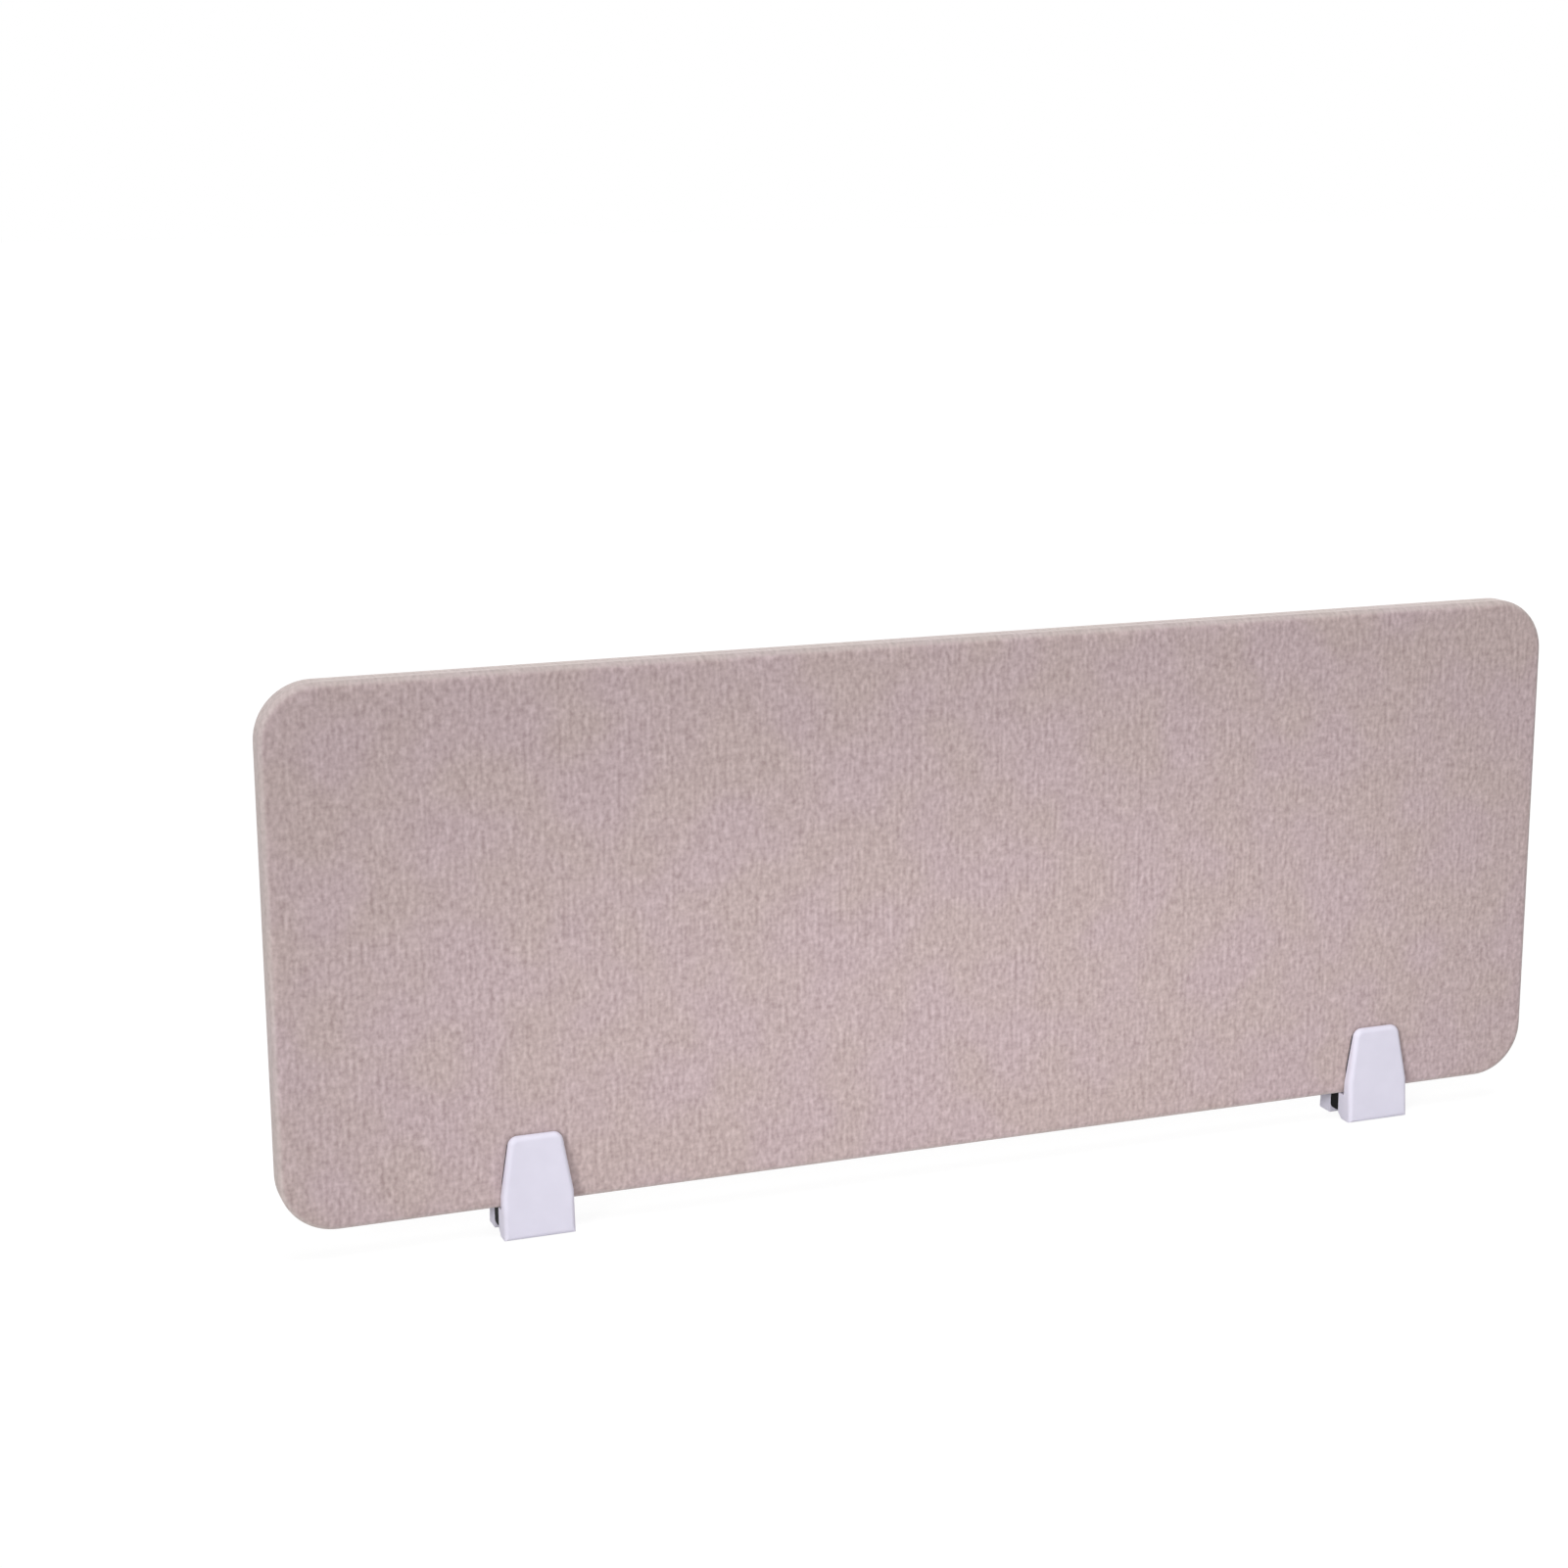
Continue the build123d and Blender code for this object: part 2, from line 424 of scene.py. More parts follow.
@dataclass(frozen=True)
class WovenMelange(Finish):
    """Plain-woven polyester melange, dyed in the yarn.

    What gives it away is the mottle: thick and thin places of the upright yarns show as
    short pale and dark streaks, crossed by a weaker mottle of the level yarns, over a slow
    drift between a pinker and a greyer dye. It is matt. Its colour is painted paler where it is
    seen at a low angle, as a painted sheen, and along the band where it runs round the board's edge, as a
    painted highlight that stands in for the light on the rim.
    """

    pink_pale: str = "#D5C1C4"
    pink_deep: str = "#AF9A9C"
    taupe_pale: str = "#D4C1BF"
    taupe_deep: str = "#AE9A98"
    # Pale colour of the painted highlight, on the edge band and where the cloth is seen side-on
    painted_highlight: str = "#DFD7D1"
    loose_fibres: str = "#F4EEE9"
    # Real yarns are 0.4 mm wide; they are drawn as coarse as their mottle shows
    upright: Mottle = Mottle(2.9 * MM, 6.0 * MM, 0.7)
    level: Mottle = Mottle(6.0 * MM, 2.9 * MM, 0.7, share=0.35)
    flecks: Mottle = Mottle(2.6 * MM, 2.6 * MM, 1.0, share=0.55)
    slubs: Mottle = Mottle(2.9 * MM, 26.0 * MM, 0.0, share=0.45)
    drift: Mottle = Mottle(70.0 * MM, 70.0 * MM, 1.5)
    mottle_range: tuple[float, float] = (0.79, 1.56)  # sums that give the deep and the pale colour
    drift_range: tuple[float, float] = (0.35, 0.65)  # drift at which the dye leaves pink, and is taupe
    edge_highlight_range: tuple[float, float] = (1.2 * MM, 5.0 * MM)  # run past the rim over which the painted highlight band rises
    edge_highlight_share: float = 0.34
    grazing_highlight_range: tuple[float, float] = (0.3, 0.85)  # how side-on the painted sheen starts, and is full
    grazing_highlight_share: float = 0.45
    relief: float = 0.35 * MM
    relief_strength: float = 0.35
    roughness: float = 0.95
    specular: float = 0.25
    sheen: float = 0.3
    sheen_roughness: float = 0.45

    def dress(self, tree: Tree) -> Inputs:
        """Build the mottle, the dye's drift, the painted highlights on the edge band and at low angles, and
        the relief of the yarns.

        Args:
            tree: The material's node tree.

        Returns:
            What goes into the Principled BSDF's inputs.
        """
        cloth = add_node(tree, "UVMap", uv_map=CLOTH_MAP).outputs["UV"]
        mottle = self.upright.spread(tree, cloth)
        for layer in (self.level, self.flecks, self.slubs):
            parts = {0: layer.spread(tree, cloth), 1: layer.share, 2: mottle}
            mottle = add_node(tree, "Math", parts, operation="MULTIPLY_ADD").outputs[0]
        drift = self.drift.spread(tree, cloth)
        past = add_node(tree, "Attribute", attribute_name=EDGE_RUN).outputs["Fac"]
        facing = add_node(tree, "LayerWeight", {"Blend": 0.5}).outputs["Facing"]
        tone, dye, edge, painted_highlight = (
            add_node(
                tree,
                "MapRange",
                {"Value": value, "From Min": start, "From Max": end, "To Max": top},
                interpolation_type=course,
            ).outputs["Result"]
            for course, value, (start, end), top in (
                ("LINEAR", mottle, self.mottle_range, 1.0),
                ("SMOOTHSTEP", drift, self.drift_range, 1.0),
                ("SMOOTHSTEP", past, self.edge_highlight_range, self.edge_highlight_share),
                ("SMOOTHSTEP", facing, self.grazing_highlight_range, self.grazing_highlight_share),
            )
        )
        # Painted highlight: the colour pales along the rim band and where the cloth is seen side-on, standing
        # in for light on the edge and for sheen
        painted_highlight_mask = add_node(tree, "Math", {0: edge, 1: painted_highlight}, operation="MAXIMUM").outputs[0]
        pale, colour = (
            add_node(
                tree,
                "Mix",
                {FACTOR: dye, FIRST_COLOUR: linear(pink), SECOND_COLOUR: linear(taupe)},
                data_type="RGBA",
            ).outputs[MIXED_COLOUR]
            for pink, taupe in ((self.pink_pale, self.taupe_pale), (self.pink_deep, self.taupe_deep))
        )
        for share, other in ((tone, pale), (painted_highlight_mask, linear(self.painted_highlight))):
            parts = {FACTOR: share, FIRST_COLOUR: colour, SECOND_COLOUR: other}
            colour = add_node(tree, "Mix", parts, data_type="RGBA").outputs[MIXED_COLOUR]
        yarns = {"Strength": self.relief_strength, "Distance": self.relief, "Height": mottle}
        return {
            "Base Color": colour,
            "Normal": add_node(tree, "Bump", yarns).outputs["Normal"],
            "Roughness": self.roughness,
            "Specular IOR Level": self.specular,
            "Sheen Weight": self.sheen,
            "Sheen Roughness": self.sheen_roughness,
            "Sheen Tint": linear(self.loose_fibres),
        }


@dataclass(frozen=True)
class GrainedSolid(Finish):
    """A solid material with a fine grain in its gloss and relief, and in its colour."""

    pale: str
    deep: str
    grain: float  # size of the grain as it is drawn
    relief: float
    roughness: float
    relief_strength: float = 0.6
    smoother: float = 0.08  # how much less rough the grain's low places are
    rougher: float = 0.08  # how much rougher its high places are
    grain_range: tuple[float, float] = (0.3, 0.7)
    detail: float = 3.0
    across: float = 1.0  # how fine the grain is across the Y axis, for one along it
    patch: float = 0.0  # size of the colour's own patches, or nought where it follows the grain
    colour_range: tuple[float, float] = (0.3, 0.7)
    specular: float = 0.5
    ior: float = 1.5
    metallic: float = 0.0

    def dress(self, tree: Tree) -> Inputs:
        """Build the grain and link it to the colour, the gloss and the relief.

        Args:
            tree: The material's node tree.

        Returns:
            What goes into the Principled BSDF's inputs.
        """
        place = add_node(tree, "TexCoord").outputs["Object"]
        squeeze = {"Vector": place, "Scale": (self.across, 1, self.across)}
        place = add_node(tree, "Mapping", squeeze).outputs[0]
        grain, patches = (
            add_node(tree, "TexNoise", {"Vector": place, "Scale": 1 / size, "Detail": self.detail}).outputs[0]
            for size in (self.grain, self.patch or self.grain)
        )
        share, gloss = (
            add_node(
                tree,
                "MapRange",
                {"Value": value, "From Min": start, "From Max": end, "To Min": least, "To Max": most},
            ).outputs["Result"]
            for value, (start, end), least, most in (
                (patches, self.colour_range, 0.0, 1.0),
                (grain, self.grain_range, self.roughness - self.smoother, self.roughness + self.rougher),
            )
        )
        colours = {FACTOR: share, FIRST_COLOUR: linear(self.deep), SECOND_COLOUR: linear(self.pale)}
        height = {"Strength": self.relief_strength, "Distance": self.relief, "Height": grain}
        return {
            "Base Color": add_node(tree, "Mix", colours, data_type="RGBA").outputs[MIXED_COLOUR],
            "Roughness": gloss,
            "Normal": add_node(tree, "Bump", height).outputs["Normal"],
            "Specular IOR Level": self.specular,
            "IOR": self.ior,
            "Metallic": self.metallic,
        }


COVER_CLOTH = WovenMelange("woven_polyester_melange")
# White ABS, injection moulded in a finely eroded tool: a satin white with a cool cast, a soft
# highlight that the tool's texture breaks a little, and a faint cloudiness where the melt cooled
# at different speeds. The texture is 0.1 mm, and is drawn as coarse as it needs to show.
MOULDED_ABS = GrainedSolid(
    "moulded_white_abs", "#E2DFEE", "#DFDCEB",
    grain=0.9 * MM, relief=0.03 * MM, relief_strength=0.25, detail=2.0,
    patch=18.0 * MM, colour_range=(0.35, 0.65),
    roughness=0.5, smoother=0.05, rougher=0.05, specular=0.14, ior=1.53,
)
# Turned or cold-formed steel under a thin bright zinc plate: a cool grey metal with fine turning
# rings about the screw's axis and a slightly uneven gloss.
ZINC_STEEL = GrainedSolid(
    "zinc_plated_steel", "#C6C9CC", "#A9ADB1",
    grain=0.35 * MM, across=0.15, relief=0.02 * MM, relief_strength=0.3, colour_range=(0.0, 1.0),
    roughness=0.3, rougher=0.1, metallic=1.0,
)
# Open-cell polyurethane foam: matt off-white with a coarse, crumbly cell structure.
CUT_FOAM = GrainedSolid(
    "cut_polyurethane_foam", "#E4E1D6", "#C2BFB2", grain=1.2 * MM, relief=0.5 * MM, roughness=0.95
)
# Pressed fibreboard: matt brown with short pale and dark wood fibres.
FIBREBOARD = GrainedSolid(
    "pressed_fibreboard", "#B89972", "#8E7350", grain=2.0 * MM, relief=0.1 * MM, roughness=0.85
)
# Glass-filled nylon, moulded: black, matt, with a dull speckle where fibres lie near the skin.
FILLED_NYLON = GrainedSolid(
    "glass_filled_nylon", "#0B0B0B", "#030303",
    grain=1.4 * MM, relief=0.03 * MM, roughness=0.75, specular=0.12,
)
# Moulded nitrile rubber: charcoal, matt, with a fine powdery tool texture.
GRIP_RUBBER = GrainedSolid(
    "moulded_nitrile_rubber", "#48454B", "#38353B",
    grain=1.2 * MM, relief=0.04 * MM, roughness=0.8, specular=0.3,
)
# Thermoplastic elastomer feet: pale grey, matt and slightly waxy.
FOOT_RUBBER = GrainedSolid(
    "thermoplastic_elastomer", "#CFCFD2", "#BFBFC3",
    grain=1.5 * MM, relief=0.04 * MM, roughness=0.65, specular=0.35,
)


# ---------------------------------------------------------------- padded panel


@dataclass
class PaddedPanel:
    """The fabric-covered board: two covers that meet in a seam round the edge, over foam."""

    corner_radius: float = 42 * MM
    edge_rounding: float = 6 * MM
    cloth_thickness: float = 0.9 * MM
    solid_cloth: float = 1.0 * MM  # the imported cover's thickness, which the foam starts under
    seam_roll: float = 1.0 * MM  # radius of the cover's rolled edge along the seam
    seam_turn: float = 1.02 * MM  # cloth turned in at the seam, a little more than its roll takes
    seam_reach: float = 0.1 * MM  # how far the seam's points may lie from the outline's true arcs
    grid: float = 10 * MM  # spacing of the edges that carry the cloth's soft waves
    wave_depth: float = 0.35 * MM
    wave_length: float = 90 * MM
    wave_margin: float = 30 * MM  # the waves fade out over this distance from the panel's edge
    wave_apart: float = 40.0  # between the places in the noise where the two faces take their waves
    corner_steps: int = 16
    edge_steps: int = 7
    roll_steps: int = 4

    def __post_init__(self) -> None:
        """Read the panel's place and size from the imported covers."""
        self.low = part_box("front_cover")[0]
        self.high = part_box("rear_cover")[1]
        self.centre = (self.low + self.high) / 2
        self.half = (self.high - self.low) / 2

    def slab(self, name: str, face: Face, inset: float) -> Piece:
        """Model one half of the board's rounded slab, from its middle plane to its face.

        Args:
            name: The piece's name.
            face: Which face it has.
            inset: How far its surface lies inside the panel's.

        Returns:
            The slab, with a flat side on the panel's middle plane.
        """
        depth = self.half.y - inset
        low = (self.low.x + inset, min(0, face.value * depth), self.low.z + inset)
        high = (self.high.x - inset, max(0, face.value * depth), self.high.z - inset)
        piece = start_box(name, low, high)
        with editing(piece):
            pick_edges(piece, lambda a, b: abs(a.y - b.y) > depth / 2)
            round_picked(self.corner_radius - inset, self.corner_steps)
        return piece

    def round_rim(self, piece: Piece, face: Face, inset: float) -> None:
        """Round the rim between a slab's face and its edge.

        Args:
            piece: The slab, in edit mode.
            face: Which face it has.
            inset: How far its surface lies inside the panel's.
        """
        plane = face.value * (self.half.y - inset)
        pick_edges(piece, lambda a, b: abs(a.y - plane) < ON_PLANE and abs(b.y - plane) < ON_PLANE)
        round_picked(self.edge_rounding - inset, self.edge_steps)

    def cut_grid(self, spacing: float) -> None:
        """Cut level and upright edges into the slab in edit mode, to carry the waves.

        Args:
            spacing: The distance from edge to edge.
        """
        for axis in (0, 2):
            normal = Vector((axis == 0, 0, axis == 2))
            count = round(2 * self.half[axis] / spacing)
            for step in range(1, count):
                slice_off(self.low + normal * (step * 2 * self.half[axis] / count), normal, keep=True)

    def edge_distance(self, place: Vector, inset: float) -> tuple[float, Vector]:
        """Measure how far a point lies beyond the panel's outline less an inset.

        Args:
            place: The point.
            inset: How far the measured outline lies inside the panel's.

        Returns:
            The distance, which is negative inside, and the outward direction in the XZ plane.
        """
        offset = place - self.centre
        straight = self.half - Vector((1, 1, 1)) * self.corner_radius
        beyond = Vector((abs(offset.x) - straight.x, 0, abs(offset.z) - straight.z))
        if beyond.x > 0 and beyond.z > 0:
            way = beyond.normalized()
        else:
            way = Vector((1, 0, 0)) if beyond.x > beyond.z else Vector((0, 0, 1))
        distance = beyond.dot(way) - (self.corner_radius - inset)
        return distance, Vector((math.copysign(way.x, offset.x), 0, math.copysign(way.z, offset.z)))

    def wave(self, place: Vector, face: Face) -> float:
        """Give how far the cloth dips under its outer plane at a point of a face.

        Args:
            place: The point.
            face: Which face it is on.

        Returns:
            The dip, from nothing to the wave's depth.
        """
        distance, _ = self.edge_distance(place, self.edge_rounding)
        fade = min(1.0, max(0.0, -distance / self.wave_margin))
        spot = Vector((place.x, self.wave_apart * face.value, place.z)) / self.wave_length
        level = 0.5 + 0.5 * noise.noise(spot)
        return self.wave_depth * fade * fade * (3 - 2 * fade) * level

    def let_wave(self, piece: Piece, face: Face) -> None:
        """Move the points of a slab's face in by the cloth's soft waves.

        Args:
            piece: The slab.
            face: Which face it has.
        """
        for vertex in piece.data.vertices:
            if abs(vertex.co.y) > self.half.y - self.edge_rounding:
                vertex.co.y -= face.value * self.wave(vertex.co, face)

    def run_past_face(self, place: Vector) -> tuple[float, float, Vector]:
        """Follow the cloth from a face's rim to a point of the cover's outer skin.

        Args:
            place: The point.

        Returns:
            The cloth's run past the rim, the point's distance beyond it straight outwards
            (both negative on the face), and the outward direction.
        """
        distance, way = self.edge_distance(place, self.edge_rounding)
        if distance <= 0:
            return distance, distance, way
        depth = self.half.y - abs(place.y)
        if depth < self.edge_rounding:
            run = self.edge_rounding * math.atan2(distance, self.edge_rounding - depth)
        else:
            run = self.edge_rounding * math.pi / 2 + depth - distance
        return run, distance, way

    def map_cloth(self, piece: Piece) -> None:
        """Give a cover the UV map of its cloth laid flat, and the run past its rim.

        Args:
            piece: The cover, as a single skin.
        """
        layer = piece.data.uv_layers.new(name=CLOTH_MAP)
        past = piece.data.attributes.new(name=EDGE_RUN, type="FLOAT", domain="POINT")
        spots = []
        for vertex in piece.data.vertices:
            run, distance, way = self.run_past_face(vertex.co)
            past.data[vertex.index].value = run
            spots.append(vertex.co - self.centre + way * (run - distance))
        for loop in piece.data.loops:
            spot = spots[loop.vertex_index]
            layer.data[loop.index].uv = (spot.x, spot.z)

    def flat_size(self) -> tuple[float, float]:
        """Give the size that each cover is cut to, with what goes round the edge.

        Returns:
            Its width and its length, in metres.
        """
        turn = self.edge_rounding * math.pi / 2 + (self.half.y - self.edge_rounding - self.seam_roll)
        turn += self.seam_roll * math.pi / 2
        inner = self.half - Vector((1, 1, 1)) * self.edge_rounding
        return 2 * (inner.x + turn), 2 * (inner.z + turn)

    def on_seam(self, place: Vector) -> bool:
        """Say whether a point is on the outer line of the seam, on the panel's middle plane."""
        distance, _ = self.edge_distance(place, 0)
        return abs(place.y) < ON_PLANE and abs(distance) < self.seam_reach

    def build_cover(self, face: Face) -> Piece:
        """Model one cover: a skin over a face and half of the edge, rolled in at the seam.

        Args:
            face: Which face it covers.

        Returns:
            The cover, as a closed sheet of cloth.
        """
        name = f"{face.name.lower()}_cover_cloth"
        piece = self.slab(name, face, 0)
        with editing(piece):
            pick_faces(piece, lambda centre, normal: normal.y * face.value < -0.99)
            bpy.ops.mesh.inset(thickness=self.seam_turn, use_even_offset=True)
            bpy.ops.mesh.delete(type="FACE")
            self.round_rim(piece, face, 0)
            pick_edges(piece, lambda a, b: self.on_seam(a) and self.on_seam(b))
            round_picked(self.seam_roll, self.roll_steps)
            self.cut_grid(self.grid)
        clean(piece)
        self.let_wave(piece, face)
        self.map_cloth(piece)
        hold(
            piece, "SOLIDIFY", thickness=self.cloth_thickness, offset=-1, use_even_offset=True, use_rim=True
        )
        smooth(piece)
        COVER_CLOTH.lay_on(piece)
        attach(piece, "panel")
        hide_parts(f"{face.name.lower()}_cover")
        return piece

    def build_foam(self, face: Face) -> Piece:
        """Model one foam layer, which fills out its cover.

        Args:
            face: Which face it pads.

        Returns:
            The foam layer.
        """
        name = f"{face.name.lower()}_foam"
        inner = min(abs(corner.y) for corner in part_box(name))
        piece = self.slab(f"{name}_layer", face, self.solid_cloth)
        with editing(piece):
            self.round_rim(piece, face, self.solid_cloth)
            slice_off((0, face.value * inner, 0), (0, -face.value, 0))
            self.cut_grid(2 * self.grid)
        clean(piece)
        self.let_wave(piece, face)
        smooth(piece)
        CUT_FOAM.lay_on(piece)
        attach(piece, "panel")
        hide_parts(name)
        return piece

    def build(self) -> list[Piece]:
        """Build the covers and the foam, and dress the core board.

        Returns:
            The modelled pieces.
        """
        pieces = []
        for face in Face:
            foam = self.build_foam(face)
            cover = self.build_cover(face)
            self.flat_size()
            pieces += [foam, cover]
        FIBREBOARD.repaint(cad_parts["core_board"])
        return pieces


# ---------------------------------------------------------------- clamps


@dataclass
class Clamp:
    """The pieces of one desk clamp, modelled about X = 0 and copied to both places."""

    base_width: float = 54 * MM
    top_width: float = 39.5 * MM
    taper_start: float = 32.5 * MM
    top_corner_radius: float = 6 * MM
    base_plane: float = 25 * MM  # outer face at the rim, from the panel's middle
    top_plane: float = 18.5 * MM  # outer face at the top
    edge_rounding: float = 3.8 * MM
    wall: float = 2.5 * MM
    mould_rounding: float = 0.35 * MM
    front_relief: tuple[float, float] = (4.5 * MM, 5.5 * MM)  # rise and run under the inner edge
    rear_relief: tuple[float, float] = (0.8 * MM, 0.8 * MM)
    clearance: float = 0.3 * MM
    hole_clearance: float = 0.25 * MM
    counterbore_clearance: float = 0.5 * MM
    nut_clearance: float = 0.15 * MM
    thread_clearance: float = 0.05 * MM
    turning_gap: float = 0.03 * MM  # under the screw's head, so that it turns free of its washer
    overcut: float = 1 * MM  # how far a cutter runs past what it cuts
    bridge_rounding: float = 3 * MM
    collar_rise: float = 0.2 * MM  # of the bridge's collar above the jaws' ledges
    tongue_rise: float = 3 * MM  # from the bridge's underside
    tongue_height: float = 8 * MM
    tongue_width: float = 8 * MM
    tongue_place: float = 16 * MM  # from the clamp's middle to a tongue's
    pad_shade_margin: float = -0.25 * MM  # outside the leaning sides, so that the dark pad's rim shows as a line that stands in for the shade beside the jaw: a painted shade
    pad_rounding: float = 0.12 * MM
    rib_pitch: float = 3 * MM
    rib_groove: float = 0.9 * MM
    rib_depth: float = 0.4 * MM
    foot_rim: float = 1.2 * MM  # flat plastic left in front of each foot pad
    foot_corner: float = 1.2 * MM
    foot_rounding: float = 0.2 * MM
    foot_lands: int = 9  # between the foot pad's grooves
    foot_groove: float = 0.8 * MM
    foot_depth: float = 0.35 * MM
    screw_radius: float = 2.5 * MM
    thread_pitch: float = 0.8 * MM
    thread_depth: float = 0.43 * MM
    thread_steps: int = 5  # rings of points to one turn of the thread
    tip_taper: float = 0.1 * MM  # how far the tip is turned down under the thread's root
    head_chamfer: float = 0.4 * MM
    knurl_depth: float = 0.14 * MM
    knurl_ribs: int = 36
    socket_flats: float = 4 * MM
    socket_depth: float = 2.5 * MM
    washer_rounding: float = 0.15 * MM
    nut_chamfer: float = 0.5 * MM

    def __post_init__(self) -> None:
        """Read the clamp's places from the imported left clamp, moved to X = 0."""
        low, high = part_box("left_front_jaw")
        self.middle = (low.x + high.x) / 2
        self.rim, self.top = low.z, high.z
        self.lean = (self.base_plane - self.top_plane) / (self.top - self.rim)
        self.base_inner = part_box("left_rear_jaw")[0].y
        self.pad, self.bridge, self.screw, self.washer, self.nut = (
            self.centred(f"left_{node}") for node in ("rear_grip_pad", "bridge", "screw", "washer", "nut")
        )
        self.foot_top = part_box("left_rear_foot_pad")[1].z
        self.ledge = self.bridge[1].z - self.collar_rise
        self.tongue_low = self.bridge[0].z + self.tongue_rise
        self.axis_height = (self.washer[0].z + self.washer[1].z) / 2
        self.hole = self.screw_radius + self.hole_clearance
        self.washer_radius = (self.washer[1].x - self.washer[0].x) / 2
        self.counterbore = self.washer_radius + self.counterbore_clearance

    def centred(self, node: str) -> tuple[Vector, ...]:
        """Give a node's lowest and highest corners, moved so that the clamp's middle is X = 0."""
        return tuple(corner - Vector((self.middle, 0, 0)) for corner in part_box(node))

    def outer_plane(self, height: float) -> float:
        """Give the distance from the panel's middle to the leaning outer face at a height."""
        return self.base_plane - self.lean * (height - self.rim)

    def on_axis(self, y: float) -> Vector:
        """Give the point of the screw's axis at a distance behind the panel's middle."""
        return Vector((0, y, self.axis_height))

    def bore(self, radius: float, near: float, far: float, sides: int = 48) -> Piece:
        """Make a cutting rod on the screw's axis, by its radius to its corners and its ends along Y."""
        return start_rod("cutter", self.on_axis((near + far) / 2), radius, far - near, sides)

    def finish_off(
        self, piece: Piece, finish: Finish, rounding: float = 0.0, steps: int = 2, angle: float = 50.0
    ) -> Piece:
        """Clean a modelled piece, round its sharp edges as a tool leaves them, and dress it.

        Args:
            piece: The piece.
            finish: Its finish.
            rounding: The width of its edges' rounding.
            steps: The number of steps in the rounding.
            angle: The sharpest angle in degrees that still looks smooth.

        Returns:
            The piece.
        """
        clean(piece)
        if rounding:
            hold(
                piece,
                "BEVEL",
                width=rounding,
                segments=steps,
                limit_method="ANGLE",
                angle_limit=SHARP,
                miter_outer="MITER_ARC",
                use_clamp_overlap=True,
            )
        smooth(piece, angle)
        finish.lay_on(piece)
        return piece

    def lean_sides_in(self, inset: float) -> None:
        """Cut the sides of the piece in edit mode to the clamp's upright taper.

        Args:
            inset: How far its sides lie inside the jaw's.
        """
        step = (self.base_width - self.top_width) / 2
        rise = self.top - self.taper_start
        for side in (-1, 1):
            point = (side * (self.base_width / 2 - inset), 0, self.taper_start)
            slice_off(point, (side * rise, 0, step))

    def round_top_corners(self, piece: Piece, radius: float) -> None:
        """Round the two upper corners of an upright piece.

        Args:
            piece: The piece, in edit mode.
            radius: The corners' radius.
        """
        top = max(v.co.z for v in bmesh.from_edit_mesh(piece.data).verts) - ON_PLANE
        pick_edges(piece, lambda a, b: min(a.z, b.z) > top and abs(a.x - b.x) < ON_PLANE)
        round_picked(radius, 9)

    def sink_grooves(self, piece: Piece, places: list[float], width: float, axis: Point, sink: Point) -> None:
        """Sink straight grooves into a pad's face.

        Args:
            piece: The pad, in edit mode.
            places: The grooves' middles along an axis.
            width: The width of each groove.
            axis: The axis that they are spaced on.
            sink: How far they sink, as a vector into the face.
        """
        axis, sink = Vector(axis), Vector(sink)
        for place in places:
            for edge in (-width / 2, width / 2):
                slice_off(axis * (place + edge), axis, keep=True)
        pick_faces(
            piece,
            lambda centre, normal: normal.dot(sink.normalized()) < -0.9
            and any(abs(centre.dot(axis) - place) < width / 2 for place in places),
        )
        extrude_picked(sink)

    def jaw_body(self, name: str, relief: tuple[float, float]) -> Piece:
        """Model a rear jaw: a leaning face above a hollow base that reaches under the panel.

        Args:
            name: The piece's name.
            relief: The rise and run of the cut under its inner edge.

        Returns:
            The jaw, without what the screw needs.
        """
        half = self.base_width / 2
        rise, run = relief
        face_inner = self.pad[1].y
        low = (-half, self.base_inner, self.rim)
        piece = start_box(name, low, (half, self.base_plane, self.ledge))
        with editing(piece):
            slice_off((0, face_inner, 0), (0, 1, 0), keep=True)
            pick_faces(piece, lambda centre, normal: normal.z > 0.9 and centre.y > face_inner)
            extrude_picked((0, 0, self.top - self.ledge))
            slice_off((0, self.base_plane, self.rim), (0, 1, self.lean))
            self.lean_sides_in(0)
            slice_off((0, self.base_inner, self.rim + rise), (0, -rise, -run))
            self.round_top_corners(piece, self.top_corner_radius)
            pick_faces(piece, lambda centre, normal: normal.y > 0.98)
            bpy.ops.mesh.region_to_loop()
            round_picked(self.edge_rounding, 8)
        self.hollow_out(piece, relief)
        return piece

    def hollow_out(self, piece: Piece, relief: tuple[float, float]) -> None:
        """Cut the moulded pockets, the foot's recess and the tongues' windows into a jaw.

        Args:
            piece: The solid jaw.
            relief: The rise and run of the cut under its inner edge.
        """
        rise, run = relief
        half = self.base_width / 2 - self.wall
        block = self.counterbore + self.wall
        ceiling = self.ledge - self.wall
        lowest = max(self.rim + rise + self.wall, self.foot_top)
        floor = min(lowest, self.tongue_low - self.clearance)
        near = self.base_inner + self.wall
        far = self.outer_plane(self.ledge) - self.wall
        foot_far = self.base_plane - self.edge_rounding - self.foot_rim
        window = Vector((self.tongue_width / 2 + self.clearance, 0, 0))
        for side in (-1, 1):
            inner, outer = sorted((side * block, side * half))
            cut_box(piece, (inner, near, floor), (outer, far, ceiling))
            cut_box(piece, (inner, near + run, -self.overcut), (outer, foot_far, ceiling))
            low = Vector((side * self.tongue_place, 0, self.tongue_low - self.clearance))
            high = Vector((low.x, near + self.wall, self.tongue_low + self.tongue_height + self.clearance))
            cut_box(piece, low - window, high + window)
        cut_box(piece, (-half, near + run, -self.overcut), (half, foot_far, self.foot_top))

    def build_rear_jaw(self) -> Piece:
        """Model the rear jaw, with the counterbore for the screw's head and washer.

        Returns:
            The jaw.
        """
        piece = self.jaw_body("rear_jaw_shell", self.rear_relief)
        seat = self.washer[0].y
        combine(piece, self.bore(self.hole, 0, seat + self.overcut))
        combine(piece, self.bore(self.counterbore, seat, 2 * self.base_plane, 64))
        return self.finish_off(piece, MOULDED_ABS, self.mould_rounding, 3)

